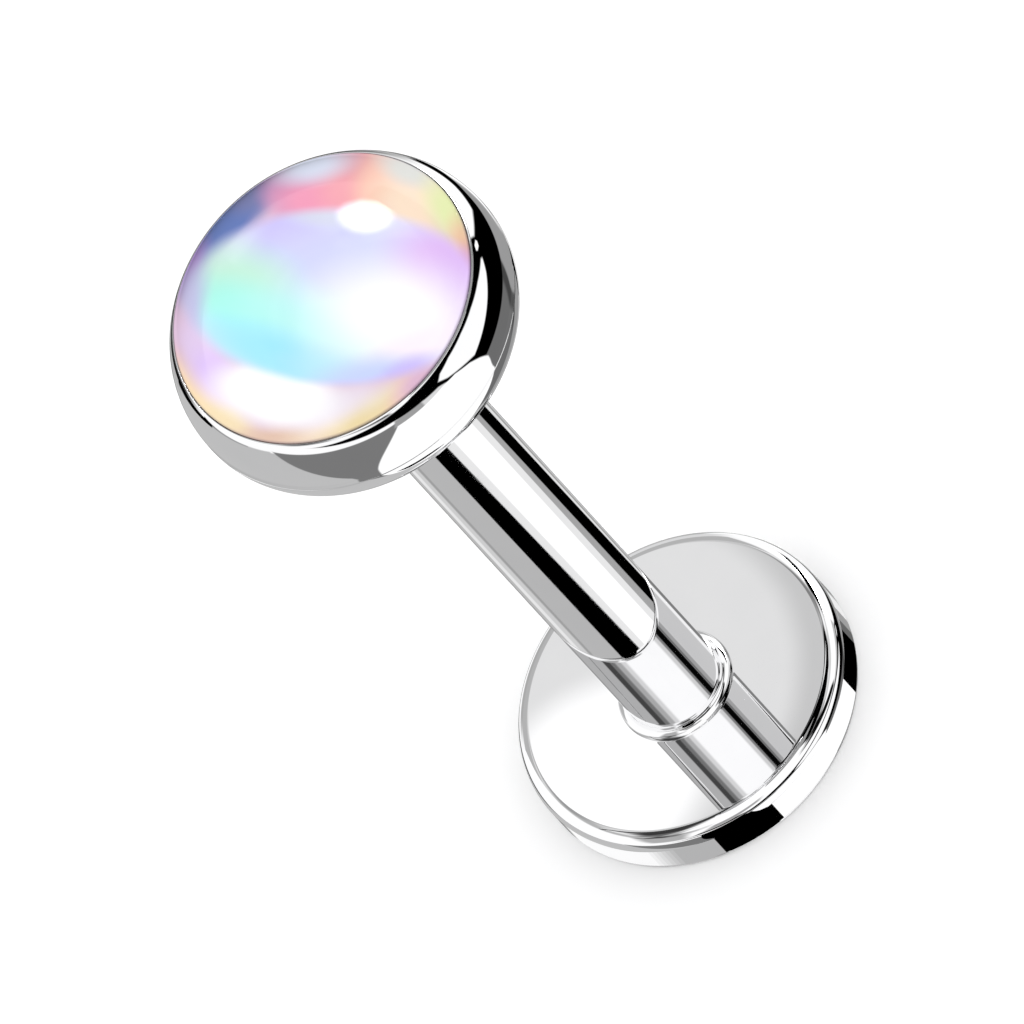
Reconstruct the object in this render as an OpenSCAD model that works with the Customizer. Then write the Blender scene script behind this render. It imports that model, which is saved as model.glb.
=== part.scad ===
// Flat-backed stud with a screw-on domed top, standing upright on its disc.
// The origin is the centre of the disc's underside, and +Z runs up the post.

/* [Disc] */
// Width of the round flat back
disc_d = 4.04; // [3.2:0.02:6]
// Thickness of the flat back
disc_t = 0.6; // [0.4:0.05:1]
// Radius that rounds the rim on the post's side
disc_rim_r = 0.18; // [0.05:0.01:0.25]
// Radius that breaks the rim on the flat side
disc_edge_r = 0.05; // [0.02:0.01:0.1]

/* [Post] */
// Outside width of the tubular post
post_d = 1.2; // [1.1:0.1:1.6]
// Length of the post between the disc and the top
post_len = 8.46; // [5:0.02:12]
// Radius of the fillet where the post meets the disc
foot_r = 0.12; // [0.05:0.01:0.2]
// Radius that rounds the post's open end
post_edge_r = 0.04; // [0.02:0.01:0.06]

/* [Screw] */
// Width over the crests of the pin's thread
thread_d = 0.8; // [0.7:0.02:0.84]
// Height gained in one turn
thread_pitch = 0.2; // [0.15:0.01:0.25]
// Number of turns on the pin
thread_turns = 5; // [3:1:6]
// Space between the crests and the wall of the post's bore
thread_gap = 0.03; // [0.01:0.01:0.05]

/* [Setting] */
// Width of the cup at its widest
cup_d = 4.12; // [3.9:0.02:4.8]
// Height of the cup from its flat underside to its lip
cup_h = 1.32; // [1.2:0.02:2]
// Radius that turns the cup's side into its underside
cup_corner_r = 0.64; // [0.3:0.02:0.7]
// Height of the straight band where the cup is widest
cup_band_h = 0.06; // [0:0.02:0.1]
// Radius of the rolled lip that holds the stone
lip_roll_r = 0.03; // [0.02:0.01:0.06]

/* [Stone] */
// Width of the round stone
stone_d = 3.64; // [3:0.02:3.8]
// Height of the dome above the lip
dome_h = 0.9; // [0.5:0.05:1.5]
// Depth of the stone below the lip
stone_seat_h = 0.46; // [0.2:0.02:0.5]

/* [Hidden] */

// Fineness of round shapes and of the arcs in an outline
$fn = 96;
ARC_STEPS = 12;
THREAD_SIDES = 18;
THREAD_SLICES_PER_TURN = 14;

// Hairline gap between pieces that are fitted together
fit_gap = 0.01;
// Gap between the post's end and the cup that closes on it
seat_gap = 0.015;

disc_r = disc_d / 2;
post_r = post_d / 2;
cup_r = cup_d / 2;
stone_r = stone_d / 2;

post_top = disc_t + post_len;
cup_bottom = post_top + seat_gap;
lip_top = cup_bottom + cup_h;
seat_floor = lip_top - stone_seat_h - fit_gap;

// Depth of the thread as a share of its pitch
DEPTH_PER_PITCH = 0.6;
// The thread is a round rod that runs a little off its own axis as it turns
thread_depth = DEPTH_PER_PITCH * thread_pitch;
rod_r = (thread_d - thread_depth) / 2;
pin_len = thread_turns * thread_pitch;
// Length of the chamfered end that finds the post's bore
pin_tip_h = 0.08;
// A plain core runs through the thread and up into the cup as its stem
core_r = thread_d / 2 - thread_depth - fit_gap;
stem_h = 0.36;

// The bore runs on past the pin, and ends in the cone that the drill leaves
BORE_RUNOUT = 0.5;
DRILL_CONE_ANGLE = 31;
bore_r = thread_d / 2 + thread_gap;
bore_depth = pin_len + BORE_RUNOUT;
bore_cone_h = bore_r * tan(DRILL_CONE_ANGLE);
// Width of the chamfer at the bore's mouth
bore_mouth = 0.04;

pocket_r = stone_r + fit_gap;
band_bottom = cup_bottom + cup_corner_r;
band_top = band_bottom + cup_band_h;

// Points on an arc about a centre, from one angle to another
function arc(centre, r, from, to) =
    [for (i = [0:ARC_STEPS])
        let (a = from + (to - from) * i / ARC_STEPS)
        centre + r * [cos(a), sin(a)]];

// The cup's side is one arc that runs smoothly from the rolled lip to the widest band
side_swell = cup_r - pocket_r;
side_rise = lip_top - lip_roll_r - band_top;
side_r = (side_swell ^ 2 + side_rise ^ 2 - lip_roll_r ^ 2) / (2 * (side_swell - lip_roll_r));
side_turn = atan2(side_rise, side_r - side_swell);

// The dome is the cap of a ball that meets the stone's edge at the lip
ball_r = (stone_r ^ 2 + dome_h ^ 2) / (2 * dome_h);

// Disc, foot fillet and tube, turned from one bar, with a blind bore in the open end
module flat_back_post() {
    outline = concat(
        [[0, 0]],
        arc([disc_r - disc_edge_r, disc_edge_r], disc_edge_r, -90, 0),
        arc([disc_r - disc_rim_r, disc_t - disc_rim_r], disc_rim_r, 0, 90),
        arc([post_r + foot_r, disc_t + foot_r], foot_r, -90, -180),
        arc([post_r - post_edge_r, post_top - post_edge_r], post_edge_r, 0, 90),
        [[bore_r + bore_mouth, post_top],
         [bore_r, post_top - bore_mouth],
         [bore_r, post_top - bore_depth],
         [0, post_top - bore_depth - bore_cone_h]]
    );
    color("silver")
        rotate_extrude()
            polygon(outline);
}

// Screw pin that hangs under the cup, with its plain stem fitted up into it
module threaded_pin() {
    thread_h = pin_len - fit_gap;
    color("gainsboro")
        translate([0, 0, cup_bottom - pin_len]) {
            cylinder(h = pin_len + stem_h, r = core_r);
            linear_extrude(
                height = thread_h,
                twist = -360 * thread_h / thread_pitch,
                slices = thread_turns * THREAD_SLICES_PER_TURN,
                $fn = THREAD_SIDES
            )
                translate([thread_depth / 2, 0])
                    circle(r = rod_r);
            translate([0, 0, -pin_tip_h])
                cylinder(h = pin_tip_h, r1 = core_r - pin_tip_h, r2 = core_r);
        }
}

// Round-bottomed cup with a rolled lip, a pocket for the stone and a socket for the pin's stem
module setting_cup() {
    socket_r = core_r + fit_gap;
    socket_top = cup_bottom + stem_h + fit_gap;
    outline = concat(
        [[0, socket_top], [socket_r, socket_top], [socket_r, cup_bottom]],
        arc([cup_r - cup_corner_r, band_bottom], cup_corner_r, -90, 0),
        arc([cup_r - side_r, band_top], side_r, 0, side_turn),
        arc([pocket_r, lip_top - lip_roll_r], lip_roll_r, side_turn, 90),
        [[pocket_r, seat_floor], [0, seat_floor]]
    );
    color("silver")
        rotate_extrude()
            polygon(outline);
}

// Domed stone with a short straight side that sits in the cup's pocket
module cabochon() {
    color("lavender")
        intersection() {
            translate([0, 0, lip_top + dome_h - ball_r])
                sphere(r = ball_r);
            translate([0, 0, lip_top - stone_seat_h])
                cylinder(h = stone_seat_h + dome_h, r = stone_r);
        }
}

flat_back_post();
threaded_pin();
setting_cup();
cabochon();
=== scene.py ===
# %% [markdown]
# A flat-backed piercing stud stands on its disc on a pale table. It has a disc and a tubular
# post in mirror-polished steel, a screw-on cup, and a domed stone whose pastel colours drift
# into each other. Everything is round about one line, +Z, so this lesson is about turning:
# nearly every piece starts as an outline, half as wide as the piece, and is spun like a bowl
# on a lathe.
#
# The stud is only eleven millimetres high. Blender works in metres, so the lesson writes its
# sizes in millimetres and multiplies by MM.

# %% Load the frame
import math

import bmesh
import bpy
from mathutils import Matrix, Vector


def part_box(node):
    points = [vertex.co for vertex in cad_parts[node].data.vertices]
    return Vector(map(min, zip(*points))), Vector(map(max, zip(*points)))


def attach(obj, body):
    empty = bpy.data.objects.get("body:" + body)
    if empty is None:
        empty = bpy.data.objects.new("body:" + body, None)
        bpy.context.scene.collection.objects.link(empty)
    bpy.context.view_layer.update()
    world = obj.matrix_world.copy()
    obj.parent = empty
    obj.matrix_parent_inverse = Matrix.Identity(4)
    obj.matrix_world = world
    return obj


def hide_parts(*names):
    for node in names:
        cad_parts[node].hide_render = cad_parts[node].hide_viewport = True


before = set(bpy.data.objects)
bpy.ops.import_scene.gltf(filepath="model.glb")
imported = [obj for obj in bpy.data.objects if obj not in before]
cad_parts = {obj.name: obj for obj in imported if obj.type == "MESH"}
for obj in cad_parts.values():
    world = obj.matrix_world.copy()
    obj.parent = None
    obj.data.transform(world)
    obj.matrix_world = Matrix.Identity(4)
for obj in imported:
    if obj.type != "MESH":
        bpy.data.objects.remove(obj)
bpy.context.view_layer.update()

MM = 0.001
post_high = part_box("flat_back_post")[1]
pin_low, pin_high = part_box("threaded_pin")
cup_low, cup_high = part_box("setting_cup")
stone_low, stone_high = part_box("cabochon")

# %% [markdown]
# The camera comes first, because everything else is judged through it. Small jewellery is
# photographed from far away with a long lens, which keeps the disc and the stone at one
# scale. The lens looks down on the disc at 53 degrees. It is also rolled about its own line
# of sight, so that the upright post leans to the upper left of the picture.
#
# The camera could be aimed with a Track To constraint, but a constraint keeps the horizon
# level. Building its three axes by hand lets it roll, and takes only a few lines.

# %% Place the camera
PICTURE = 1024
PIXELS_PER_MM = 88.5
ELEVATION = math.radians(52.85)
ROLL = math.radians(42.4)
DISTANCE = 460 * MM
AIM = Vector((-0.042, 0.0, 5.094)) * MM
SENSOR = 36.0

back = Vector((0.0, -math.cos(ELEVATION), math.sin(ELEVATION)))
level_right = Vector((1.0, 0.0, 0.0))
level_up = back.cross(level_right)
right = level_right * math.cos(ROLL) - level_up * math.sin(ROLL)
up = level_right * math.sin(ROLL) + level_up * math.cos(ROLL)

camera = bpy.data.objects.new("camera", bpy.data.cameras.new("camera"))
camera.data.sensor_width = SENSOR
camera.data.lens = SENSOR * DISTANCE / (PICTURE / PIXELS_PER_MM * MM)
camera.data.clip_end = 100.0
facing = Matrix((right, up, back)).transposed().to_4x4()
camera.matrix_world = Matrix.Translation(AIM + back * DISTANCE) @ facing
bpy.context.scene.collection.objects.link(camera)
bpy.context.scene.camera = camera
print("lens", round(camera.data.lens), "mm from", round(DISTANCE / MM), "mm away")

# %% [markdown]
# A lathe pen draws the outlines. It stands on one vertex, its tip, and has two strokes. The
# straight stroke extrudes the tip, and the curved stroke spins the tip about the curve's
# centre, which leaves an arc of short edges behind. Typing the points of each arc as numbers
# would work too, but nobody could read a radius off them.
#
# A polished face shows every error in its shading. Smooth shading blends the direction of a
# flat face with that of the curve beside it, and a flat mirror would then look dished. So a
# straight stroke also leaves a supporting point close to each end, which keeps the blend
# inside a sliver. A stroke that is hardly longer than the supports does without them.

# %% Draw with a lathe pen
ARC_STEP = math.radians(3.0)
SUPPORT = 0.012 * MM
LARGEST_SHARE = 0.25


def pen_down(bm, x, z):
    """Starts an outline at radius x and height z, and returns the pen's tip."""
    return bm.verts.new((x, 0.0, z))


def line_to(bm, tip, x, z):
    """Draws a straight stroke with a supporting point near each end, and returns the tip."""
    start, end = tip.co.copy(), Vector((x, 0.0, z))
    share = SUPPORT / (end - start).length
    stops = [share, 1.0 - share, 1.0] if share < LARGEST_SHARE else [1.0]
    for stop in stops:
        tip = bmesh.ops.extrude_vert_indiv(bm, verts=[tip])["verts"][0]
        tip.co = start.lerp(end, stop)
    return tip


def arc_to(bm, tip, x, z, turn):
    """Draws an arc that turns by an angle, anticlockwise above zero, and returns the tip."""
    start, end = tip.co.copy(), Vector((x, 0.0, z))
    chord = end - start
    across = Vector((-chord.z, 0.0, chord.x))
    centre = (start + end) / 2 + across / (2 * math.tan(turn / 2))
    spun = bmesh.ops.spin(
        bm, geom=[tip], cent=centre, axis=(0.0, -1.0, 0.0), angle=turn,
        steps=max(2, round(abs(turn) / ARC_STEP)),
    )
    tip = next(v for v in spun["geom_last"] if isinstance(v, bmesh.types.BMVert))
    tip.co = end
    return tip


# %% [markdown]
# A finished outline is spun through a full turn about the Z axis. With use_merge the last
# copy is welded to the first. The points that lie on the axis are copied at every step too,
# so they are merged afterwards, and then the normals are worked out again.

# %% Spin an outline into a solid
TURN_STEPS = 256
WELD = 0.0005 * MM
RIGHT_ANGLE = math.radians(90.0)


def spin_outline(bm, steps=TURN_STEPS):
    """Turns the outline once about the Z axis and closes the solid."""
    bmesh.ops.spin(
        bm, geom=bm.verts[:] + bm.edges[:], cent=(0.0, 0.0, 0.0), axis=(0.0, 0.0, 1.0),
        angle=math.tau, steps=steps, use_merge=True,
    )
    bmesh.ops.remove_doubles(bm, verts=bm.verts, dist=WELD)
    bmesh.ops.recalc_face_normals(bm, faces=bm.faces)


def finish_piece(bm, name, body, slot, *nodes):
    """Makes a smooth object of the mesh, hides the solids it stands for, and reports it."""
    open_edges = sum(not e.is_manifold for e in bm.edges)
    for face in bm.faces:
        face.smooth = True
    mesh = bpy.data.meshes.new(name)
    bm.to_mesh(mesh)
    bm.free()
    piece = bpy.data.objects.new(name, mesh)
    bpy.context.scene.collection.objects.link(piece)
    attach(piece, body)
    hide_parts(*nodes)
    print(name, len(mesh.polygons), "faces,", open_edges, "open edges")
    return piece


# %% [markdown]
# The disc and the post are one solid on the real stud, turned from a bar or welded and then
# polished together. The disc's rim has a full round on the side of the post, and only a
# small one underneath, where it lies against the skin. A fillet leads the disc into the
# post. The post is a tube: a blind bore in its open end takes the screw.

# %% Turn the disc and the post
DISC_THICKNESS = 0.6 * MM
RIM_ROUND = 0.18 * MM
EDGE_ROUND = 0.05 * MM
POST_RADIUS = 0.6 * MM
FOOT_ROUND = 0.12 * MM
POST_EDGE = 0.04 * MM
BORE_RADIUS = 0.43 * MM
BORE_MOUTH = 0.04 * MM
BORE_DEPTH = 1.5 * MM
BORE_CONE = 0.258 * MM

disc_radius, post_top = post_high.x, post_high.z

bm = bmesh.new()
tip = pen_down(bm, 0.0, 0.0)
tip = line_to(bm, tip, disc_radius - EDGE_ROUND, 0.0)
tip = arc_to(bm, tip, disc_radius, EDGE_ROUND, RIGHT_ANGLE)
tip = line_to(bm, tip, disc_radius, DISC_THICKNESS - RIM_ROUND)
tip = arc_to(bm, tip, disc_radius - RIM_ROUND, DISC_THICKNESS, RIGHT_ANGLE)
tip = line_to(bm, tip, POST_RADIUS + FOOT_ROUND, DISC_THICKNESS)
tip = arc_to(bm, tip, POST_RADIUS, DISC_THICKNESS + FOOT_ROUND, -RIGHT_ANGLE)
tip = line_to(bm, tip, POST_RADIUS, post_top - POST_EDGE)
tip = arc_to(bm, tip, POST_RADIUS - POST_EDGE, post_top, RIGHT_ANGLE)
tip = line_to(bm, tip, BORE_RADIUS + BORE_MOUTH, post_top)
tip = line_to(bm, tip, BORE_RADIUS, post_top - BORE_MOUTH)
tip = line_to(bm, tip, BORE_RADIUS, post_top - BORE_DEPTH)
tip = line_to(bm, tip, 0.0, post_top - BORE_DEPTH - BORE_CONE)
spin_outline(bm)
disc_and_post = finish_piece(bm, "disc_and_post", "post", "polished_steel", "flat_back_post")

# %% [markdown]
# The cup that holds the stone is turned too. Its underside is flat where it closes on the
# post, and curls up in a wide round. Above its widest band the side leans in on one long
# arc, up to a thin rolled lip that touches the stone. Arc and roll meet without a corner
# when the side's radius is worked out from how far it has to swell and to rise.

# %% Turn the cup
CUP_CORNER = 0.64 * MM
CUP_BAND = 0.06 * MM
LIP_ROLL = 0.03 * MM
BAND_LEAN = 0.002 * MM
STONE_GAP = 0.01 * MM
STEM_RADIUS = 0.27 * MM
SOCKET_RADIUS = 0.28 * MM

cup_radius, cup_bottom, lip_top = cup_high.x, cup_low.z, cup_high.z
stone_radius, stone_bottom, stone_top = stone_high.x, stone_low.z, stone_high.z
pocket_radius = stone_radius + STONE_GAP
socket_top = pin_high.z + STONE_GAP
band_bottom = cup_bottom + CUP_CORNER
band_top = band_bottom + CUP_BAND
swell = cup_radius - pocket_radius
rise = lip_top - LIP_ROLL - band_top
side_radius = (swell**2 + rise**2 - LIP_ROLL**2) / (2 * (swell - LIP_ROLL))
side_turn = math.atan2(rise, side_radius - swell)
roll_x = pocket_radius + LIP_ROLL * math.cos(side_turn)
roll_z = lip_top - LIP_ROLL + LIP_ROLL * math.sin(side_turn)

bm = bmesh.new()
tip = pen_down(bm, 0.0, socket_top)
tip = line_to(bm, tip, SOCKET_RADIUS, socket_top)
tip = line_to(bm, tip, SOCKET_RADIUS, cup_bottom)
tip = line_to(bm, tip, cup_radius - CUP_CORNER, cup_bottom)
tip = arc_to(bm, tip, cup_radius, band_bottom, RIGHT_ANGLE)
tip = line_to(bm, tip, cup_radius - BAND_LEAN, band_top)
tip = arc_to(bm, tip, roll_x, roll_z, side_turn)
tip = arc_to(bm, tip, pocket_radius, lip_top, RIGHT_ANGLE - side_turn)
tip = line_to(bm, tip, pocket_radius, stone_bottom - STONE_GAP)
tip = line_to(bm, tip, 0.0, stone_bottom - STONE_GAP)
spin_outline(bm)
bezel_cup = finish_piece(bm, "bezel_cup", "top", "polished_steel", "setting_cup")

# %% [markdown]
# The stone is a cabochon: a flat-bottomed stone with a domed top and no facets. The dome is
# part of a ball, so one arc draws it. The arc's turn follows from how wide and how high the
# dome is. A tiny round at the girdle keeps the glass from ending in a knife edge, and the
# girdle stands a hair above the lip, where the metal was pressed down round it.

# %% Turn the stone
GIRDLE_RISE = 0.03 * MM
GIRDLE_ROUND = 0.02 * MM
BASE_CHAMFER = 0.05 * MM

girdle_top = lip_top + GIRDLE_RISE
dome_height = stone_top - girdle_top
dome_reach = stone_radius - GIRDLE_ROUND
dome_turn = 2 * math.atan2(dome_height, dome_reach)

bm = bmesh.new()
tip = pen_down(bm, 0.0, stone_bottom)
tip = line_to(bm, tip, stone_radius - BASE_CHAMFER, stone_bottom)
tip = line_to(bm, tip, stone_radius, stone_bottom + BASE_CHAMFER)
tip = line_to(bm, tip, stone_radius, girdle_top - GIRDLE_ROUND)
tip = arc_to(bm, tip, dome_reach, girdle_top, RIGHT_ANGLE - dome_turn)
tip = arc_to(bm, tip, 0.0, stone_top, dome_turn)
spin_outline(bm)
domed_stone = finish_piece(bm, "domed_stone", "top", "iridescent_glass", "cabochon")

# %% [markdown]
# The screw pin only shows when the top is unscrewed. A thread is a ridge that climbs as it
# goes round, and spin makes one when it is given a rise for each step, its dvec. One ridge,
# spun for more turns than the pin needs, gives overlapping ribbons whose edges weld into one
# skin. Two flat cuts then trim the ends square, as a parting tool would, and each hole that
# they leave is filled.
#
# A real pin has a chamfer at its tip, cut by a cone, so that it finds the bore. Here every
# point outside that cone is pulled in to it. The same rule, with a radius that stays the
# same, leaves the plain stem that is fitted up into the cup.

# %% Cut the screw pin
THREAD_PITCH = 0.2 * MM
CREST_RADIUS = 0.4 * MM
ROOT_RADIUS = 0.28 * MM
CREST_FLAT = 0.04 * MM
ROOT_FLAT = 0.05 * MM
CREST_ROUND = 0.015 * MM
TIP_RADIUS = 0.19 * MM
TIP_CONE = math.radians(45.0)
THREAD_STEPS = 72

pin_bottom, stem_top = pin_low.z, pin_high.z
thread_turns = math.ceil((stem_top - pin_bottom) / THREAD_PITCH) + 1
flank = (THREAD_PITCH - CREST_FLAT - ROOT_FLAT) / 2

bm = bmesh.new()
tip = pen_down(bm, ROOT_RADIUS, pin_bottom - THREAD_PITCH)
for radius, height in (
    (ROOT_RADIUS, ROOT_FLAT / 2),
    (CREST_RADIUS - CREST_ROUND, ROOT_FLAT / 2 + flank),
    (CREST_RADIUS, ROOT_FLAT / 2 + flank + CREST_ROUND),
    (CREST_RADIUS, ROOT_FLAT / 2 + flank + CREST_FLAT - CREST_ROUND),
    (CREST_RADIUS - CREST_ROUND, ROOT_FLAT / 2 + flank + CREST_FLAT),
    (ROOT_RADIUS, THREAD_PITCH - ROOT_FLAT / 2),
    (ROOT_RADIUS, THREAD_PITCH),
):
    tip = bmesh.ops.extrude_vert_indiv(bm, verts=[tip])["verts"][0]
    tip.co = (radius, 0.0, pin_bottom - THREAD_PITCH + height)
bmesh.ops.spin(
    bm, geom=bm.verts[:] + bm.edges[:], cent=(0.0, 0.0, 0.0), axis=(0.0, 0.0, 1.0),
    dvec=(0.0, 0.0, THREAD_PITCH / THREAD_STEPS), angle=math.tau * thread_turns,
    steps=THREAD_STEPS * thread_turns,
)
bmesh.ops.remove_doubles(bm, verts=bm.verts, dist=WELD)
for height, side in ((pin_bottom, -1.0), (stem_top, 1.0)):
    bmesh.ops.bisect_plane(
        bm, geom=bm.verts[:] + bm.edges[:] + bm.faces[:], dist=WELD,
        plane_co=(0.0, 0.0, height), plane_no=(0.0, 0.0, side), clear_outer=True,
    )
bmesh.ops.holes_fill(bm, edges=[e for e in bm.edges if e.is_boundary], sides=0)
for vert in bm.verts:
    reach = math.hypot(vert.co.x, vert.co.y)
    cone = TIP_RADIUS + (vert.co.z - pin_bottom) * math.tan(TIP_CONE)
    limit = STEM_RADIUS if vert.co.z > cup_bottom - STONE_GAP else cone
    if reach > limit:
        vert.co.x *= limit / reach
        vert.co.y *= limit / reach
bmesh.ops.recalc_face_normals(bm, faces=bm.faces)
screw_pin = finish_piece(bm, "screw_pin", "pin", "turned_steel", "threaded_pin")

# %% [markdown]
# Now the finishes. The colours of the stone and the shades of the studio were judged on a
# screen, where 0 is black and 1 is white. Blender's shaders add up light instead, and half as
# bright on a screen is only a fifth of the light. Two helpers turn a shade or a colour from
# the screen into light.
#
# Each material starts from the same few nodes, so another helper makes them: a Principled
# shader, and the place on the piece in millimetres. The pieces sit at the origin, so Object
# coordinates are their real measures, and a pattern can't slide when the top unscrews.

# %% Start a material


def light_of(shade):
    """Turns a shade on the screen, from 0 to 1, into the light that shows it."""
    return shade / 12.92 if shade <= 0.04045 else ((shade + 0.055) / 1.055) ** 2.4


def colour_of(red, green, blue):
    """Turns a colour on the screen, from 0 to 255, into the light that shows it."""
    return tuple(light_of(part / 255) for part in (red, green, blue)) + (1.0,)


def add(tree, kind, **settings):
    """Adds a node, sets its properties, and returns it."""
    node = tree.nodes.new(kind)
    for name, value in settings.items():
        setattr(node, name, value)
    return node


def new_material(name):
    """Makes a material, and returns it with its shader and the place in millimetres."""
    material = bpy.data.materials.new(name)
    material.use_nodes = True
    tree = material.node_tree
    shader = next(n for n in tree.nodes if n.bl_idname == "ShaderNodeBsdfPrincipled")
    place = add(tree, "ShaderNodeVectorMath", operation="SCALE")
    place.inputs["Scale"].default_value = 1.0 / MM
    coordinates = add(tree, "ShaderNodeTexCoord")
    tree.links.new(coordinates.outputs["Object"], place.inputs["Vector"])
    return material, shader, place.outputs["Vector"]


# %% [markdown]
# Turned metal keeps faint rings from the lathe, and polishing leaves a thin, cloudy haze over
# them. Both steels show this, the mirror finish only just and the pin plainly, so it is a
# node group that each material places with its own values. The rings are noise that is read
# by radius and height alone, which makes it run round the axis. An image of scratches could
# not be used at every size, and noise can.

# %% Make the lathe marks
marks = bpy.data.node_groups.new("lathe_marks", "ShaderNodeTree")
for name, kind, value in (
    ("Place", "NodeSocketVector", None),
    ("Rings per mm", "NodeSocketFloat", 30.0),
    ("Smooth", "NodeSocketFloat", 0.02),
    ("Rough", "NodeSocketFloat", 0.06),
):
    socket = marks.interface.new_socket(name, in_out="INPUT", socket_type=kind)
    if value is not None:
        socket.default_value = value
for name in ("Roughness", "Height", "Haze"):
    marks.interface.new_socket(name, in_out="OUTPUT", socket_type="NodeSocketFloat")

way_in, way_out = add(marks, "NodeGroupInput"), add(marks, "NodeGroupOutput")
axes = add(marks, "ShaderNodeSeparateXYZ")
flat = add(marks, "ShaderNodeCombineXYZ")
radius = add(marks, "ShaderNodeVectorMath", operation="LENGTH")
profile = add(marks, "ShaderNodeCombineXYZ")
rings = add(marks, "ShaderNodeTexNoise", noise_dimensions="2D")
rings.inputs["Detail"].default_value = 3.0
haze = add(marks, "ShaderNodeTexNoise")
haze.inputs["Scale"].default_value = 1.6
haze.inputs["Detail"].default_value = 4.0
both = add(marks, "ShaderNodeMath", operation="MULTIPLY")
spread = add(marks, "ShaderNodeMapRange")
link = marks.links.new
link(way_in.outputs["Place"], axes.inputs["Vector"])
link(axes.outputs["X"], flat.inputs["X"])
link(axes.outputs["Y"], flat.inputs["Y"])
link(flat.outputs["Vector"], radius.inputs["Vector"])
link(radius.outputs["Value"], profile.inputs["X"])
link(axes.outputs["Z"], profile.inputs["Y"])
link(profile.outputs["Vector"], rings.inputs["Vector"])
link(way_in.outputs["Rings per mm"], rings.inputs["Scale"])
link(way_in.outputs["Place"], haze.inputs["Vector"])
link(rings.outputs["Fac"], both.inputs[0])
link(haze.outputs["Fac"], both.inputs[1])
link(both.outputs["Value"], spread.inputs["Value"])
spread.inputs["From Min"].default_value = 0.12
spread.inputs["From Max"].default_value = 0.4
link(way_in.outputs["Smooth"], spread.inputs["To Min"])
link(way_in.outputs["Rough"], spread.inputs["To Max"])
link(spread.outputs["Result"], way_out.inputs["Roughness"])
link(rings.outputs["Fac"], way_out.inputs["Height"])
link(haze.outputs["Fac"], way_out.inputs["Haze"])
print("lathe_marks has", len(marks.nodes), "nodes")

# %% [markdown]
# Surgical steel is nearly colourless and gives back almost all the light that falls on it. A
# mirror has no colour of its own to show: what one sees is the studio, bent by the shape.
# That is why the base colour is almost white, with a haze so thin that it only takes the
# edge off, and why the studio itself, further down, gets most of the care.

# %% Finish the steel


def steel(name, bright, dull, rings, smooth, rough, height):
    """Makes a steel from its bright and dull shades, and from how its lathe marks look."""
    material, shader, place = new_material(name)
    tree = material.node_tree
    group = add(tree, "ShaderNodeGroup", node_tree=marks)
    group.inputs["Rings per mm"].default_value = rings
    group.inputs["Smooth"].default_value = smooth
    group.inputs["Rough"].default_value = rough
    tint = add(tree, "ShaderNodeMix", data_type="RGBA")
    tint.inputs["A"].default_value = bright
    tint.inputs["B"].default_value = dull
    bump = add(tree, "ShaderNodeBump")
    bump.inputs["Strength"].default_value = 1.0
    bump.inputs["Distance"].default_value = height
    shader.inputs["Metallic"].default_value = 1.0
    tree.links.new(place, group.inputs["Place"])
    tree.links.new(group.outputs["Haze"], tint.inputs["Factor"])
    tree.links.new(tint.outputs["Result"], shader.inputs["Base Color"])
    tree.links.new(group.outputs["Roughness"], shader.inputs["Roughness"])
    tree.links.new(group.outputs["Height"], bump.inputs["Height"])
    tree.links.new(bump.outputs["Normal"], shader.inputs["Normal"])
    return material


mirror_steel = steel(
    "mirror_steel", (0.95, 0.95, 0.955, 1.0), (0.90, 0.90, 0.91, 1.0),
    rings=26.0, smooth=0.008, rough=0.02, height=0.0000001 * MM,
)
lathed_steel = steel(
    "lathed_steel", (0.84, 0.84, 0.85, 1.0), (0.70, 0.70, 0.72, 1.0),
    rings=42.0, smooth=0.14, rough=0.32, height=0.0004 * MM,
)
for piece in (disc_and_post, bezel_cup):
    piece.data.materials.append(mirror_steel)
screw_pin.data.materials.append(lathed_steel)
print(mirror_steel.name, "is on the outside, and", lathed_steel.name, "on the pin")

# %% [markdown]
# The stone is clear glass over a foil, and a thin coating makes its pastel colours drift into
# each other. On the real stone they shift as it is turned. A material that did the same would
# have to know where the camera stands, and the exported part would lose it, so the colours
# are laid down as soft patches of paint.
#
# One patch is an oval with a blurred edge. It has a place, a length and a width, and it is
# turned about its own middle. In the third direction it is as good as endless. The node group
# below works out how strongly one patch covers each point, and it is placed once for each
# patch.

# %% Make a soft patch
patch = bpy.data.node_groups.new("soft_patch", "ShaderNodeTree")
for name, kind, value in (
    ("Place", "NodeSocketVector", None),
    ("Middle", "NodeSocketVector", (0.0, 0.0, 0.0)),
    ("Half Size", "NodeSocketVector", (1.0, 1.0, 1.0)),
    ("Turn", "NodeSocketFloat", 0.0),
    ("Blur", "NodeSocketFloat", 0.5),
    ("Cover", "NodeSocketFloat", 1.0),
):
    socket = patch.interface.new_socket(name, in_out="INPUT", socket_type=kind)
    if value is not None:
        socket.default_value = value
patch.interface.new_socket("Mask", in_out="OUTPUT", socket_type="NodeSocketFloat")

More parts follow.
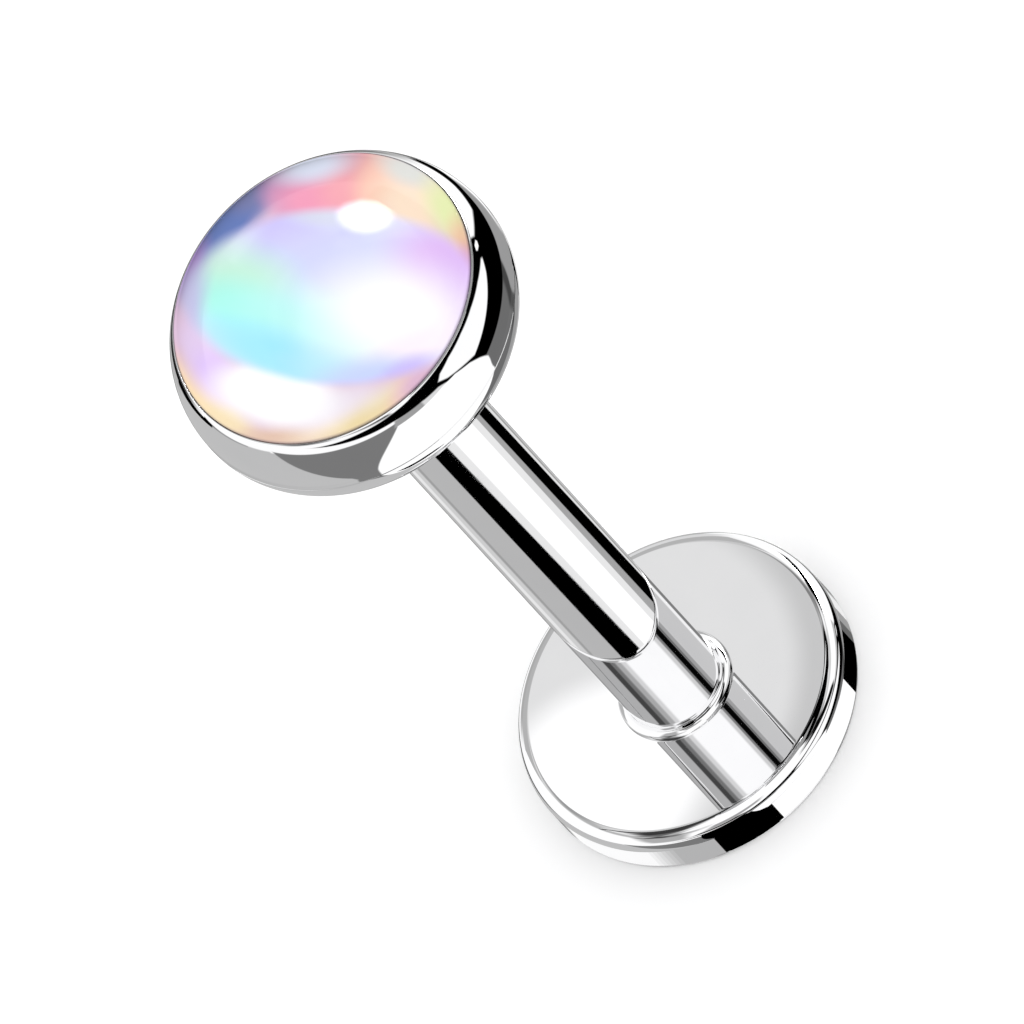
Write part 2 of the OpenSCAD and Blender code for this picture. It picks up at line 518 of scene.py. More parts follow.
way_in, way_out = add(patch, "NodeGroupInput"), add(patch, "NodeGroupOutput")
offset = add(patch, "ShaderNodeVectorMath", operation="SUBTRACT")
turned = add(patch, "ShaderNodeVectorRotate", rotation_type="Z_AXIS", invert=True)
scaled = add(patch, "ShaderNodeVectorMath", operation="DIVIDE")
length = add(patch, "ShaderNodeVectorMath", operation="LENGTH")
inner = add(patch, "ShaderNodeMath", operation="SUBTRACT")
outer = add(patch, "ShaderNodeMath", operation="ADD")
inner.inputs[0].default_value = 1.0
outer.inputs[0].default_value = 1.0
fade = add(patch, "ShaderNodeMapRange", interpolation_type="SMOOTHSTEP")
link = patch.links.new
link(way_in.outputs["Place"], offset.inputs[0])
link(way_in.outputs["Middle"], offset.inputs[1])
link(offset.outputs["Vector"], turned.inputs["Vector"])
link(way_in.outputs["Turn"], turned.inputs["Angle"])
link(turned.outputs["Vector"], scaled.inputs[0])
link(way_in.outputs["Half Size"], scaled.inputs[1])
link(scaled.outputs["Vector"], length.inputs["Vector"])
link(way_in.outputs["Blur"], inner.inputs[1])
link(way_in.outputs["Blur"], outer.inputs[1])
link(length.outputs["Value"], fade.inputs["Value"])
link(inner.outputs["Value"], fade.inputs["From Min"])
link(outer.outputs["Value"], fade.inputs["From Max"])
link(way_in.outputs["Cover"], fade.inputs["To Min"])
fade.inputs["To Max"].default_value = 0.0
link(fade.outputs["Result"], way_out.inputs["Mask"])

ENDLESS = 1000.0


def lay_patch(tree, place, middle, half_size, turn, blur, cover=1.0):
    """Lays one soft patch across a place in millimetres, and returns its mask."""
    group = add(tree, "ShaderNodeGroup", node_tree=patch)
    group.inputs["Middle"].default_value = (*middle, 0.0)
    group.inputs["Half Size"].default_value = (*half_size, ENDLESS)
    group.inputs["Turn"].default_value = math.radians(turn)
    group.inputs["Blur"].default_value = blur
    group.inputs["Cover"].default_value = cover
    tree.links.new(place, group.inputs["Place"])
    return group.outputs["Mask"]


print("soft_patch has", len(patch.nodes), "nodes")

# %% [markdown]
# The patches are laid like glazes, each over the last, in two coats. The first coat runs round the rim:
# slate blue at the back, the stone's own colour darkened by a painted reflection of the dark studio, then
# pink, peach and yellow-green to the right, and along the front a white glow, a painted reflection of a
# large softbox, with peach and cream beneath it. The second coat is a long pale lens in which the cool
# colours float, lavender, mint, aqua and sky blue, with a near-white wash right of the middle, a painted
# reflection of a softbox round the lamp's highlight. A mask in the lens's own shape lays the second coat
# over the first, so that their border stays crisp.
#
# The foil lies flat under the dome, and the colours are judged along one slanted line. So a
# Mapping node turns the stone's own coordinates until that line is its Z axis, and every patch
# below is placed by millimetres to the right and up. A slow noise bends the outlines a little,
# so that none looks drawn with a compass.

# %% Choose the colours
RIM_COAT = (
    # colour, middle, half size, turn, blur, cover
    # Slate blue at the back: the stone's own colour, darkened by a painted reflection of the dark studio.
    ((106, 128, 190), (-1.19, 0.87), (0.86, 0.36), 47, 0.35, 1.0),
    ((180, 148, 212), (-1.54, 0.33), (0.38, 0.19), 66, 0.6, 0.95),
    ((188, 140, 188), (-1.69, -0.04), (0.32, 0.10), 84, 0.7, 0.9),
    ((202, 200, 236), (-1.48, -0.14), (0.36, 0.14), 84, 0.8, 0.9),
    # A darker slate blue, also partly the stone's colour and partly a painted reflection of the dark
    # studio.
    ((126, 132, 180), (-0.77, 1.25), (0.34, 0.26), 34, 0.5, 1.0),
    ((210, 156, 196), (-0.38, 1.21), (0.28, 0.30), 10, 0.6, 0.95),
    ((240, 154, 184), (-0.06, 1.12), (0.42, 0.23), 6, 0.6, 1.0),
    ((242, 164, 174), (0.34, 1.25), (0.36, 0.32), 30, 0.6, 0.95),
    ((224, 156, 168), (0.46, 1.56), (0.42, 0.18), -5, 0.7, 0.9),
    ((246, 192, 172), (0.62, 1.29), (0.24, 0.36), -10, 0.7, 0.9),
    ((224, 232, 250), (-0.12, 1.50), (0.38, 0.18), 12, 0.7, 0.95),
    ((250, 226, 200), (1.02, 1.05), (0.44, 0.38), -30, 0.7, 0.95),
    ((214, 218, 214), (0.94, 1.44), (0.32, 0.14), -25, 0.7, 0.9),
    ((222, 232, 170), (1.43, 0.97), (0.38, 0.19), -58, 0.7, 0.95),
    ((234, 192, 160), (1.59, 0.60), (0.28, 0.13), -70, 0.7, 0.9),
    ((214, 152, 172), (1.64, 0.32), (0.24, 0.10), -82, 0.7, 0.9),
    ((240, 192, 200), (-1.61, -0.50), (0.38, 0.14), 98, 0.7, 0.95),
    ((232, 184, 160), (-1.48, -0.84), (0.28, 0.14), -60, 0.7, 0.85),
    ((250, 222, 180), (-1.33, -1.08), (0.50, 0.18), -50, 0.6, 0.95),
    ((242, 222, 180), (-1.05, -1.36), (0.40, 0.14), -35, 0.7, 0.9),
    ((222, 190, 168), (-0.46, -1.59), (0.48, 0.14), 0, 0.7, 0.95),
    ((244, 224, 200), (0.16, -1.50), (0.48, 0.14), 15, 0.7, 0.9),
    ((232, 213, 163), (0.64, -1.28), (0.60, 0.20), 30, 0.6, 0.95),
    ((240, 202, 168), (1.02, -1.02), (0.32, 0.14), 44, 0.7, 0.9),
    ((218, 180, 206), (1.12, -0.88), (0.36, 0.13), 45, 0.7, 0.95),
    ((228, 206, 240), (-1.37, -0.60), (0.48, 0.22), -55, 0.7, 0.95),
    ((222, 194, 252), (-1.19, -0.88), (0.28, 0.18), -50, 0.8, 0.9),
    # These last three rows are the white glow along the front, a painted reflection of a large softbox.
    ((255, 255, 255), (-0.50, -1.09), (0.70, 0.33), -12, 0.4, 1.0),
    ((255, 255, 255), (-0.74, -0.96), (0.20, 0.20), -30, 0.7, 0.6),
    ((240, 238, 244), (0.24, -1.16), (0.44, 0.16), 15, 0.8, 0.6),
)
LENS_COAT = (
    ((202, 192, 246), (-0.52, 0.70), (0.96, 0.34), -10, 0.7, 0.95),
    ((214, 218, 226), (0.04, 0.88), (0.36, 0.11), -8, 0.8, 0.7),
    ((212, 216, 252), (0.24, 0.42), (0.88, 0.34), 0, 0.8, 0.85),
    ((224, 186, 242), (1.32, 0.38), (0.52, 0.42), -30, 0.7, 0.95),
    ((220, 184, 244), (1.55, 0.00), (0.40, 0.52), 0, 0.7, 0.9),
    ((216, 230, 238), (-1.11, 0.48), (0.38, 0.20), 40, 0.8, 0.8),
    ((192, 240, 214), (-0.95, 0.18), (0.56, 0.34), 0, 0.7, 0.9),
    ((160, 247, 232), (-0.89, -0.16), (0.60, 0.28), -22, 0.7, 0.9),
    ((188, 246, 242), (-0.16, -0.28), (0.72, 0.30), -18, 0.8, 0.85),
    ((158, 230, 253), (-0.52, -0.65), (0.84, 0.25), -22, 0.7, 0.95),
    ((188, 232, 254), (0.08, -0.78), (0.44, 0.20), -5, 0.8, 0.8),
    ((198, 196, 236), (-1.51, -0.08), (0.16, 0.48), -12, 0.8, 0.9),
    # This row and the next: a near-white wash round the lamp's highlight, a painted reflection of a
    # softbox.
    ((255, 254, 255), (0.84, -0.18), (0.74, 0.48), -5, 0.8, 1.0),
    ((252, 238, 253), (1.06, -0.54), (0.48, 0.18), 20, 0.8, 0.85),
    ((196, 208, 255), (0.50, -0.91), (0.54, 0.21), 10, 0.7, 0.95),
    ((198, 182, 246), (0.96, -0.82), (0.30, 0.12), 28, 0.8, 0.9),
)
print(len(RIM_COAT), "patches on the rim and", len(LENS_COAT), "in the lens")

# %% [markdown]
# Both coats are painted by the same loop. Each patch becomes one group node for its mask and
# one Mix node that lays its colour over what is there. The sky of this studio is a little
# brighter than white, so the paint is a little darker than the colours it has to show.

# %% Paint the stone
TILT = math.radians(-37.15)
TWIST = math.radians(42.4)
BENDING = 0.07
PAINT = 0.92

opal_glass, shader, place = new_material("opal_glass")
tree = opal_glass.node_tree
slanted = add(tree, "ShaderNodeMapping", vector_type="POINT")
turn_to_line = Matrix.Rotation(TWIST, 3, "Z") @ Matrix.Rotation(TILT, 3, "X")
slanted.inputs["Rotation"].default_value = (TILT, 0.0, TWIST)
slanted.inputs["Location"].default_value = turn_to_line @ Vector((0.0, 0.0, -lip_top / MM))
level = add(tree, "ShaderNodeVectorMath", operation="MULTIPLY_ADD")
level.inputs[1].default_value = (1.0, 1.0, 0.0)
level.inputs[2].default_value = (-BENDING / 2, -BENDING / 2, 0.0)
drift = add(tree, "ShaderNodeTexNoise")
drift.inputs["Scale"].default_value = 0.9
drift.inputs["Detail"].default_value = 2.0
bend = add(tree, "ShaderNodeVectorMath", operation="MULTIPLY_ADD")
bend.inputs[1].default_value = (BENDING, BENDING, 0.0)
tree.links.new(place, slanted.inputs["Vector"])
tree.links.new(slanted.outputs["Vector"], level.inputs[0])
tree.links.new(place, drift.inputs["Vector"])
tree.links.new(drift.outputs["Color"], bend.inputs[0])
tree.links.new(level.outputs["Vector"], bend.inputs[2])


def paint_of(colour):
    """Turns a colour on the screen into paint that shows it under the bright sky."""
    return tuple(part * PAINT for part in colour_of(*colour)[:3]) + (1.0,)


def coat(ground, patches):
    """Paints a coat of patches on a ground colour, and returns the colour it makes."""
    base = add(tree, "ShaderNodeRGB")
    base.outputs[0].default_value = paint_of(ground)
    paint = base.outputs[0]
    for colour, *shape in patches:
        glaze = add(tree, "ShaderNodeMix", data_type="RGBA")
        glaze.inputs["B"].default_value = paint_of(colour)
        tree.links.new(lay_patch(tree, bend.outputs["Vector"], *shape), glaze.inputs["Factor"])
        tree.links.new(paint, glaze.inputs["A"])
        paint = glaze.outputs["Result"]
    return paint


coats = add(tree, "ShaderNodeMix", data_type="RGBA")
lens = lay_patch(tree, bend.outputs["Vector"], (0.17, 0.01), (1.66, 0.97), 0, 0.08)
tree.links.new(lens, coats.inputs["Factor"])
tree.links.new(coat((218, 188, 212), RIM_COAT), coats.inputs["A"])
tree.links.new(coat((222, 230, 254), LENS_COAT), coats.inputs["B"])
print("opal_glass has", len(tree.nodes), "nodes")

# %% [markdown]
# Where the glass meets the lip, the shade in the thin gap between them shows as a fine dark line, and it
# is painted into the stone's colour. The same patch group draws it: a round patch as wide as the stone,
# with a hard edge, tells where the line is not.

# %% Paint the shade line in the gap at the lip
GAP_SHADE_FROM = 1.8185

level_place = add(tree, "ShaderNodeVectorMath", operation="MULTIPLY")
level_place.inputs[1].default_value = (1.0, 1.0, 0.0)
gap_shade = add(tree, "ShaderNodeMix", data_type="RGBA")
# The painted shade of the gap between the stone and the lip.
gap_shade.inputs["A"].default_value = colour_of(96, 84, 104)
tree.links.new(place, level_place.inputs[0])
clear_of_gap_shade = lay_patch(tree, level_place.outputs["Vector"], (0.0, 0.0), (GAP_SHADE_FROM, GAP_SHADE_FROM), 0, 0.012)
tree.links.new(clear_of_gap_shade, gap_shade.inputs["Factor"])
tree.links.new(coats.outputs["Result"], gap_shade.inputs["B"])
tree.links.new(gap_shade.outputs["Result"], shader.inputs["Base Color"])

cloud = add(tree, "ShaderNodeTexNoise")
cloud.inputs["Scale"].default_value = 2.4
cloud.inputs["Detail"].default_value = 4.0
gloss = add(tree, "ShaderNodeMapRange")
gloss.inputs["To Min"].default_value = 0.02
gloss.inputs["To Max"].default_value = 0.06
tree.links.new(place, cloud.inputs["Vector"])
tree.links.new(cloud.outputs["Fac"], gloss.inputs["Value"])
tree.links.new(gloss.outputs["Result"], shader.inputs["Roughness"])
shader.inputs["IOR"].default_value = 1.45
shader.inputs["Specular IOR Level"].default_value = 0.35
domed_stone.data.materials.append(opal_glass)
# The printed radius is where the painted shade line of the gap begins.
print("the side is ground beyond", GAP_SHADE_FROM, "mm of", round(stone_radius / MM, 3), "mm")

# %% [markdown]
# The table is one matt white sheet, large enough to fill the view. It has no edge near the
# stud, and a faint mottle keeps it from looking like a hole in the picture. The steel isn't
# allowed to see it: on a sheet so close and so white, the walls of the post would reflect
# nothing else.

# %% Lay the table
TABLE_REACH = 2.0

bm = bmesh.new()
bmesh.ops.create_grid(bm, x_segments=1, y_segments=1, size=TABLE_REACH)
table_mesh = bpy.data.meshes.new("table")
bm.to_mesh(table_mesh)
bm.free()
table = bpy.data.objects.new("table", table_mesh)
bpy.context.scene.collection.objects.link(table)
table.visible_glossy = False

white_sheet, shader, place = new_material("white_sheet")
tree = white_sheet.node_tree
mottle = add(tree, "ShaderNodeTexNoise")
mottle.inputs["Scale"].default_value = 0.5
mottle.inputs["Detail"].default_value = 3.0
paper = add(tree, "ShaderNodeMix", data_type="RGBA")
paper.inputs["A"].default_value = (0.94, 0.94, 0.945, 1.0)
paper.inputs["B"].default_value = (0.955, 0.955, 0.955, 1.0)
tree.links.new(place, mottle.inputs["Vector"])
tree.links.new(mottle.outputs["Fac"], paper.inputs["Factor"])
tree.links.new(paper.outputs["Result"], shader.inputs["Base Color"])
shader.inputs["Roughness"].default_value = 0.9
shader.inputs["Specular IOR Level"].default_value = 0.1
table.data.materials.append(white_sheet)
print("the table reaches", TABLE_REACH, "m each way")

# %% [markdown]
# A jeweller's photographer builds a tent of white and black cards round a mirror-polished
# piece, because the cards are what the camera sees in it. The studio here is such a tent. It
# is painted on the world, by direction: the azimuth runs from 0 at the camera's side to 90 on
# the right, and the elevation from -90 to 90 degrees. Real cards would throw shadows on the
# table and get in each other's way, and the world has neither trouble.
#
# A card is a flat outline with three or more corners, none of them pointing in, and a shade.
# Each of its edges is a line that divides near from far: the distance to it is one dot
# product, and the smallest of the distances tells how deep inside the card a direction is.
# The shade is what the steel shows, so the card's own light is a little stronger than that.
# A shade above 1 is so many times as bright as white.

# %% Prepare the studio
world = bpy.data.worlds.new("studio")
bpy.context.scene.world = world
world.use_nodes = True
tree = world.node_tree
tree.nodes.clear()
link = tree.links.new
STEEL_LIGHT = 0.93

direction = add(tree, "ShaderNodeTexCoord")
axes = add(tree, "ShaderNodeSeparateXYZ")
toward = add(tree, "ShaderNodeMath", operation="MULTIPLY")
toward.inputs[1].default_value = -1.0
azimuth = add(tree, "ShaderNodeMath", operation="ARCTAN2")
elevation = add(tree, "ShaderNodeMath", operation="ARCSINE")
bearing = add(tree, "ShaderNodeCombineXYZ")
bearing.inputs["Z"].default_value = math.radians(1.0)
degrees = add(tree, "ShaderNodeVectorMath", operation="SCALE")
degrees.inputs["Scale"].default_value = math.degrees(1.0)
link(direction.outputs["Generated"], axes.inputs["Vector"])
link(axes.outputs["Y"], toward.inputs[0])
link(axes.outputs["X"], azimuth.inputs[0])
link(toward.outputs["Value"], azimuth.inputs[1])
link(axes.outputs["Z"], elevation.inputs[0])
link(azimuth.outputs["Value"], bearing.inputs["X"])
link(elevation.outputs["Value"], bearing.inputs["Y"])
link(bearing.outputs["Vector"], degrees.inputs[0])


def card_light(shade):
    """Turns the shade that the steel shows into the light of the card."""
    return light_of(min(shade, 1.0)) * max(shade, 1.0) / STEEL_LIGHT


def card(light, shade, blur, *corners):
    """Hangs a card of a shade over the light so far, with its corners in degrees."""
    inside = None
    around = sum(a[0] * b[1] - b[0] * a[1] for a, b in zip(corners, corners[1:] + corners[:1]))
    ring = corners if around > 0 else corners[::-1]
    for (x0, y0), (x1, y1) in zip(ring, ring[1:] + ring[:1]):
        span = math.hypot(x1 - x0, y1 - y0)
        across, along = (y0 - y1) / span, (x1 - x0) / span
        depth = add(tree, "ShaderNodeVectorMath", operation="DOT_PRODUCT")
        depth.inputs[1].default_value = (across, along, -across * x0 - along * y0)
        link(degrees.outputs["Vector"], depth.inputs[0])
        if inside is None:
            inside = depth.outputs["Value"]
        else:
            least = add(tree, "ShaderNodeMath", operation="MINIMUM")
            link(inside, least.inputs[0])
            link(depth.outputs["Value"], least.inputs[1])
            inside = least.outputs["Value"]
    soft = add(tree, "ShaderNodeMapRange", interpolation_type="SMOOTHSTEP")
    soft.inputs["From Min"].default_value = -blur
    soft.inputs["From Max"].default_value = blur
    link(inside, soft.inputs["Value"])
    over = add(tree, "ShaderNodeMix", data_type="FLOAT")
    over.inputs["B"].default_value = card_light(shade)
    link(soft.outputs["Result"], over.inputs["Factor"])
    link(light, over.inputs["A"])
    return over.outputs["Result"]


def box(light, shade, blur, left, right, low, high):
    """Hangs an upright card between two azimuths and two elevations."""
    return card(light, shade, blur, (left, low), (right, low), (right, high), (left, high))


# %% [markdown]
# The cup's side looks downwards, because it leans in below and out above, so the lower half of
# the tent is drawn in the cup. A broad white card stands in front, a dark one to the right and
# a grey one to the left. A long black flag hangs at the camera's height and gives the cup its
# crisp black line under the lip.

# %% Hang the cards that the cup reflects
TENT_SHADE = 0.74

start = add(tree, "ShaderNodeValue")
start.outputs[0].default_value = card_light(TENT_SHADE)
light = start.outputs[0]
light = box(light, 1.02, 3.0, -195, 195, 18, 95)
light = card(light, 1.0, 1.0, (-178, -44), (-150, -30), (-122, -12.5), (-122, 24), (-178, 24))
light = card(light, 1.0, 1.0, (-124, -12.5), (-86, -1.5), (-86, 24), (-124, 24))
light = card(light, 1.0, 1.0, (-87, -3), (-14, 3), (-14, 24), (-87, 24))
light = card(
    light, 0.0, 0.8,
    (-172, -42), (-150, -31.5), (-128, -18), (-118, -11.5), (-130, -13), (-145, -18.5), (-160, -28),
)
light = card(light, 0.5, 0.8, (-120, -13.2), (-100, -6.6), (-100, -5.8), (-120, -11.8))
light = card(
    light, 0.47, 0.8,
    (-86, -1), (-59, -53), (-38, -90), (30, -90), (20, 2), (-17, 5.2), (-45, 3.2),
)
light = card(light, 0.0, 0.7, (-64, 9.4), (-14, 8.8), (0, 12), (0, 20.5), (-12, 19), (-35, 15.8))
light = card(light, 0.0, 0.7, (-16, 8.8), (17, 2), (60, 6), (66, 13), (40, 21), (0, 21), (-16, 16))
light = card(light, 0.62, 1.0, (-18, 0), (4, 0), (3, 6.3), (-16, 8.4))
light = card(light, 0.85, 1.0, (2, -1), (22, -3), (14, 3.3), (2, 6))
light = box(light, 0.60, 1.0, 101, 152, -80, -28)
light = box(light, 0.42, 1.0, 45, 101, -80, -30)
light = box(light, 0.27, 3.0, 90, 101, -60, -33)
light = box(light, 1.0, 5.0, 148, 182, -60, -38)
light = card(
    light, 0.0, 0.8,
    (14, 4), (47, -33.5), (104, -35.5), (140, -34.5), (150, -31), (150, -22), (99, 4), (92, 6.5),
    (60, 15), (40, 18.5), (16, 9),
)
light = card(light, 0.0, 0.8, (134, -34), (172, -47.5), (172, -45), (150, -32.5), (134, -28.5))
light = card(
    light, 1.0, 0.9,
    (16, 8), (21, 1), (40, -16), (82.5, -8.9), (89.5, -6.3), (88.5, -4), (75, 3.75), (60, 10),
    (45, 13.8), (30, 15.2), (20, 12.8),
)
light = card(
    light, 1.0, 0.9,
    (98.5, 3), (100.5, -4), (119, -22), (135, -28.3), (152, -32), (160, -33), (160, 22), (104, 22),
)
light = card(light, 1.05, 0.5, (92.3, -0.2), (92.6, -2.2), (95.5, -5.3), (98, -5.3), (98.3, -3.5), (95, 0))
light = card(
    light, 1.05, 0.7,
    (-16, 0.2), (-50, -56), (-55, -70), (-62, -90), (54, -90), (53, -70), (51, -52), (48, -37), (42, -26),
    (35, -15), (25, -4.5), (16, -0.8),
)
print("with the cup's cards the studio has", len(tree.nodes), "nodes")

# %% [markdown]
# An upright wall under this lens reflects one elevation only, as far below the table as the
# camera stands above it. The post and the side of the disc are such walls, and their stripes
# are narrow cards on that one line. The cup crosses the line only in a hair's breadth.
#
# The lens isn't endlessly far away, so the line creeps down by two thirds of a degree from the
# top of the post to the disc. The cards' side edges lean over that stretch, which makes the
# stripes drift across the post a little as they run down it, as stripes from a real tent do.
# Each card below reaches to the far right, and the next one covers it from its own edge on.
# The side of the disc sees only a sliver at the foot of the line, and the cards there are its
# own.

# %% Hang the cards that the post reflects
WALL = -math.degrees(ELEVATION)
WALL_REACH = 0.9
WALL_LEAN = 0.19
WALL_LOW, WALL_HIGH = WALL - WALL_REACH, WALL + WALL_REACH
DISC_LOW, DISC_HIGH = -53.9, -53.165
DISC_BLUR = 0.04
FAR_RIGHT = 200

for shade, blur, high_edge, low_edge in (
    (0.58, 3.0, -190, -190),
    (0.72, 3.0, -162, -156),
    (0.90, 3.0, -145, -139),
    (0.80, 3.0, -130, -124),
    (0.62, 3.0, -116, -108),
    (0.71, 2.0, -107, -100),
    (0.0, 1.0, -53.5, -47),
    (0.91, 1.0, -19.6, -5.7),
    (1.05, 1.0, 0, 9),
    (0.91, 1.0, 58.7, 61.3),
    (0.64, 1.2, 76.6, 77.5),
    (0.0, 1.0, 89.7, 96.5),
    (0.88, 1.0, 125, 136),
    (0.62, 2.0, 139, 145),
    (0.78, 3.0, 151, 156),
    (0.55, 3.0, 163, 167),
):
    middle, lean = (high_edge + low_edge) / 2, (low_edge - high_edge) / (2 * WALL_LEAN)
    light = card(
        light, shade, blur / math.hypot(1.0, lean),
        (middle + lean * WALL_REACH, WALL_LOW), (FAR_RIGHT, WALL_LOW),
        (FAR_RIGHT, WALL_HIGH), (middle - lean * WALL_REACH, WALL_HIGH),
    )
for shade, left, right in (
    (0.98, -172, -97), (0.94, -97, -94), (0.90, -94, -91), (0.86, -91, -88), (0.82, -88, -85),
    (0.78, -85, -82), (0.74, -82, -79), (0.70, -79, -50), (0.0, -50, -5.5), (1.05, -5.5, 93),
    (0.0, 93, 130), (0.40, 130, 138), (0.62, 138, 148), (0.92, 148, 172),
):
    light = box(light, shade, DISC_BLUR, left, right, DISC_LOW, DISC_HIGH)
print("with the post's cards it has", len(tree.nodes))

# %% [markdown]
# Near its foot the post reflects the disc, and through it the upper half of the tent, at 53
# degrees above the table. The disc shows the same cards in the foot of the post. The other
# cards up there are for the round rim, which sees a little of every height.

# %% Hang the cards that the foot reflects
FOOT_LOW, FOOT_HIGH = 48.5, 57.2

light = card(light, 0.68, 4.0, (-104, 62), (-72, 18), (-52, 18), (-58, 45), (-88, 70))
light = box(light, 0.22, 3.5, -195, -112, 60, 74)
light = card(light, 0.40, 3.0, (-116, 60), (-92, 44), (-84, 48), (-100, 70), (-116, 73))
light = card(light, 0.62, 4.0, (-45, 28), (-8, 33), (-8, 45), (-42, 47))
light = card(light, 0.0, 2.0, (-51, 19), (-15, 19), (-24, 30), (-47, 27))
light = card(light, 0.03, 2.0, (28, 47), (67, 17), (71, 22), (70, 34), (56, 53), (44, 60))
light = card(light, 0.0, 2.0, (44, 57), (110, 60), (110, 84), (70, 84), (50, 70))
light = box(light, 0.0, 2.0, 108, 195, 58, 84)
light = card(light, 0.0, 1.5, (120, 62), (124, 48), (131, 34), (136, 36), (154, 62))
light = card(light, 0.10, 1.2, (131, 37), (136, 37), (139, 8), (135, 8))
for shade, blur, left, right in (
    (0.60, 4.0, -195, -148),
    (0.70, 3.0, -152, -91),
    (0.27, 2.5, -92, -76),
    (0.46, 3.0, -78, -66),
    (0.68, 4.0, -68, -54),
    (0.86, 4.0, -56, -44),
    (1.05, 4.0, -46, 31),
    (0.84, 3.0, 32, 42),
    (0.50, 2.0, 41, 47),
    (0.02, 1.2, 46, 59.5),
    (0.32, 2.5, 59, 66),
    (0.64, 3.0, 63, 74),
    (0.80, 3.0, 73, 128),
    (0.98, 3.0, 127, 144),
    (0.50, 4.0, 143, 195),
):
    light = box(light, shade, blur, left, right, FOOT_LOW, FOOT_HIGH)

# A black card with a crisp lower edge meets them at the back, where the disc's rim mirrors it.
light = box(light, 0.0, 1.0, 122, 195, 57, 84)
print("with the foot's cards it has", len(tree.nodes))

# %% [markdown]
# The pieces turn away from the lens at their edges, and there they all mirror what lies straight
# behind them. Grey cards at the back draw the thin outlines that set polished steel off from a
# white ground. The last light isn't for the steel: a lamp behind the right shoulder of the
# stone puts the bright oval on its dome.

# %% Hang the back cards and the lamp
LAMP = (131.9, 32.4)
LAMP_ACROSS, LAMP_ALONG = (-11.2, -4.0), (-6.9, 10.3)
LAMP_SHADE, LAMP_BLUR = 19.0, 4.2
LAMP_CORNERS = 12

light = box(light, 0.66, 5.0, -195, -152, -5, 46)
light = box(light, 0.85, 4.0, 155, 195, -10, 46)
light = box(light, 0.50, 5.0, -195, -165, -70, -30)
light = box(light, 0.50, 5.0, 165, 195, -70, -30)
corners = []
for step in range(LAMP_CORNERS):
    turn = math.tau * step / LAMP_CORNERS
    across, along = math.cos(turn), math.sin(turn)
    corners.append(tuple(LAMP[i] + across * LAMP_ACROSS[i] + along * LAMP_ALONG[i] for i in (0, 1)))
light = card(light, LAMP_SHADE, LAMP_BLUR, *corners)
print("with the lamp it has", len(tree.nodes))

# %% [markdown]
# The shiny finishes see the cards. Everything else, the table above all, is lit by an even
# white sky, and the camera sees that sky too. Light Path tells the rays apart.

# %% Switch the studio on
SKY = 1.20
path = add(tree, "ShaderNodeLightPath")
cards = add(tree, "ShaderNodeBackground")
sky = add(tree, "ShaderNodeBackground")
sky.inputs["Color"].default_value = (SKY, SKY, SKY, 1.0)
choice = add(tree, "ShaderNodeMixShader")
output = add(tree, "ShaderNodeOutputWorld")
link(light, cards.inputs["Color"])
link(path.outputs["Is Glossy Ray"], choice.inputs["Fac"])
link(sky.outputs["Background"], choice.inputs[1])
link(cards.outputs["Background"], choice.inputs[2])
link(choice.outputs["Shader"], output.inputs["Surface"])
bpy.context.scene.view_settings.view_transform = "Standard"
print("the studio has", len(tree.nodes), "nodes")

# %% [markdown]
# Some cards hang close by, because one piece of the stud should see them and another not. Each
# is a flat mesh that glows. It is hidden from the camera and from matt surfaces and throws no
# shadow, so it is there for the shiny finishes alone. Its glow is one shade, with soft patches
# laid over it where the light has to change.

# %% Make a near card and its glow


def near_card(name, material, *corners):
    """Hangs a flat card that only shiny finishes see, with its corners in millimetres."""
    bm = bmesh.new()
    bm.faces.new([bm.verts.new(Vector(corner) * MM) for corner in corners])
    mesh = bpy.data.meshes.new(name)
    bm.to_mesh(mesh)
    bm.free()
    mesh.materials.append(material)
    hung = bpy.data.objects.new(name, mesh)
    bpy.context.scene.collection.objects.link(hung)
    hung.visible_camera = False
    hung.visible_diffuse = False
    hung.visible_shadow = False
    hung.visible_transmission = False
    print(name, "hangs with", len(corners), "corners")


def glowing(name, shade, *spots):
    """Makes a card's glow: one shade all over, and soft spots laid over it in turn."""
    material, shader, place = new_material(name)
    tree = material.node_tree
    start = add(tree, "ShaderNodeValue")
    start.outputs[0].default_value = card_light(shade)
    light = start.outputs[0]
    for spot_shade, *shape in spots:
        over = add(tree, "ShaderNodeMix", data_type="FLOAT")
        over.inputs["B"].default_value = card_light(spot_shade)
        tree.links.new(lay_patch(tree, place, *shape), over.inputs["Factor"])
        tree.links.new(light, over.inputs["A"])
        light = over.outputs["Result"]
    glow = add(tree, "ShaderNodeCombineColor")
    for part in ("Red", "Green", "Blue"):
        tree.links.new(light, glow.inputs[part])
    tree.links.new(glow.outputs["Color"], shader.inputs["Emission Color"])
    shader.inputs["Emission Strength"].default_value = 1.0
    shader.inputs["Base Color"].default_value = (0.0, 0.0, 0.0, 1.0)
    shader.inputs["Specular IOR Level"].default_value = 0.0
    return material


# %% [markdown]
# The flat top of the disc reflects a single direction, so anything far away would fill it
# evenly. The real disc fades from white at the left to a pale grey. A small card is near
# enough for each part of the disc to meet its own part of the card.

# %% Hang a fading card where the disc looks
REACH = 16 * MM
SIDE = 2.7 * MM

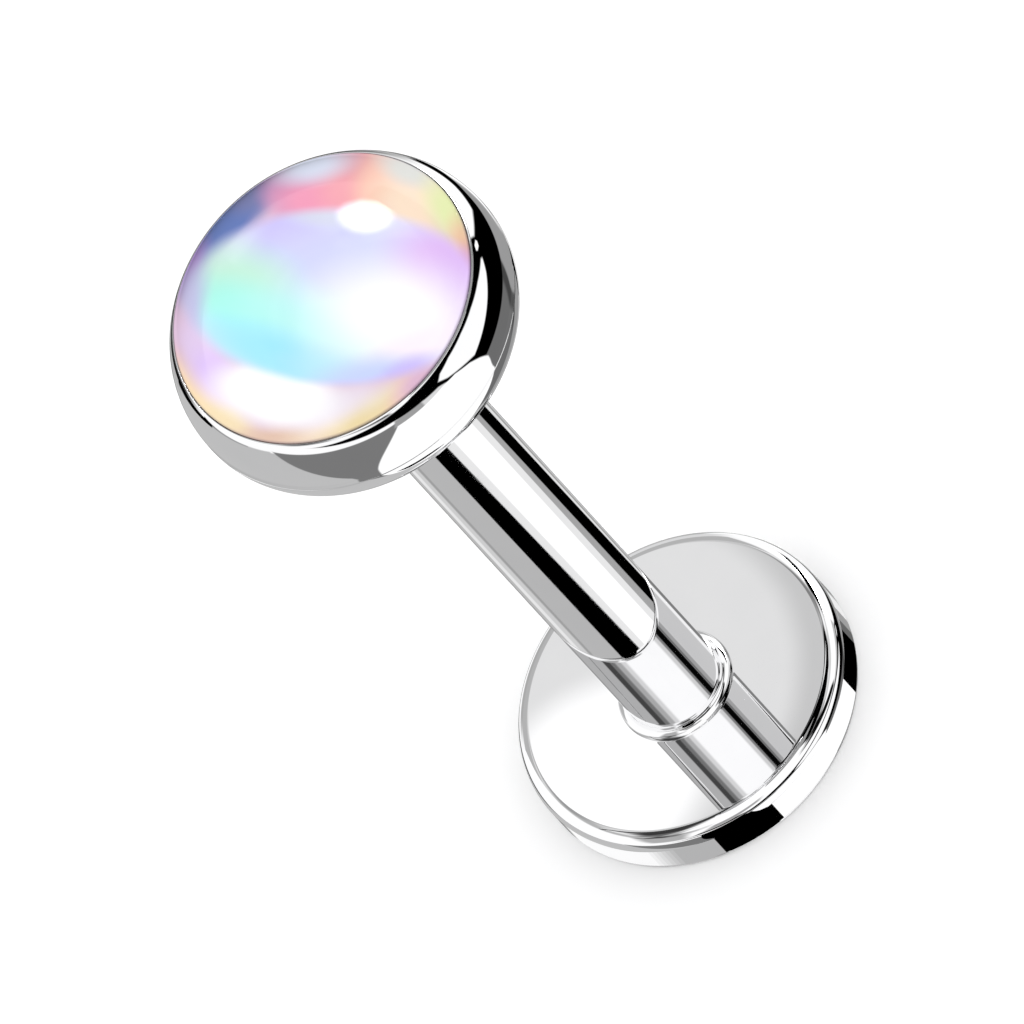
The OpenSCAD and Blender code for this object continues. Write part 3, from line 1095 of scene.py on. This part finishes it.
fading = glowing(
    "fading_card", 0.78,
    (0.88, (-0.45, 9.85), (2.15, 1.45), 0, 0.10),
    (1.05, (-1.55, 9.38), (1.60, 0.84), 0, 0.22),
)
aim = Vector((0.0, math.cos(ELEVATION), math.sin(ELEVATION)))
across, along = Vector((SIDE, 0.0, 0.0)), Vector((0.0, -aim.z, aim.y)) * SIDE
middle = Vector((0.0, 0.0, DISC_THICKNESS)) + aim * REACH
near_card(
    "near_card", fading,
    *((middle + across * i + along * j) / MM for i, j in ((-1, -1), (1, -1), (1, 1), (-1, 1))),
)

# %% [markdown]
# The other near cards are flags, which take light away. The stone has a dark one behind it,
# because the dome's far edge turns so far from the lens that it would mirror a white card as
# brightly as steel does. That flag fades at both ends, where a crisp end would draw a line
# across the stone. The others give the rim of the disc and the lip and side of the cup their
# dark and grey lines, and one of them keeps the lamp off the rim. The steel can't see the
# table, so a flag may hang down through it.

# %% Hang the flags
dim, grey, black = glowing("dim_flag", 0.70), glowing("grey_flag", 0.60), glowing("black_flag", 0.0)
dark = glowing("dark_flag", 1.0, (0.25, (-1.2, 3.2), (4.0, ENDLESS), 0, 0.3))
near_card("rim_back_flag", dim, (-6.5, 8.5, 3.2), (5, 8.5, 3.2), (5, 8.5, 9.0), (-6.5, 8.5, 9.0))
near_card("stone_flag", dark, (-6.4, 3.2, 8.6), (4, 3.2, 8.6), (4, 3.2, 11.2), (-6.4, 3.2, 11.2))
near_card(
    "cup_back_flag", black,
    (-7.4, 3.1, 8.54), (-3.9, 3.1, 8.54), (-3.3, 3.1, 8.66), (-2.3, 3.1, 8.78), (-2.3, 3.1, 8.95),
    (-4.2, 3.1, 9.0), (-7.4, 3.1, 9.0),
)
near_card("lip_flag", black, (6, -4.5, 11.6), (6, 5.5, 11.6), (6, 5.5, 13.3), (6, -4.5, 13.3))
near_card("lip_top_flag", grey, (-0.2, -4, 12.4), (4.2, -4, 12.4), (4.2, 0, 12.4), (0.4, 0.2, 12.4))
near_card(
    "rim_front_flag", black,
    (-3.9, -4.5, -5.4), (-0.55, -4.5, -5.4), (-0.55, -4.5, -2.8), (-0.8, -4.5, -1.0), (-1.0, -4.5, 0.6),
    (-1.6, -4.5, 1.4), (-3.6, -4.5, 1.4),
)
near_card(
    "rim_side_flag", black,
    (5.33, 1.32, 4.6), (4.18, 2.59, 4.6), (4.17, 2.60, 3.2), (4.07, 2.71, 2.3), (4.00, 2.79, 1.5),
    (4.36, 2.39, 1.5), (4.70, 2.02, 2.4), (5.15, 1.52, 3.85),
)
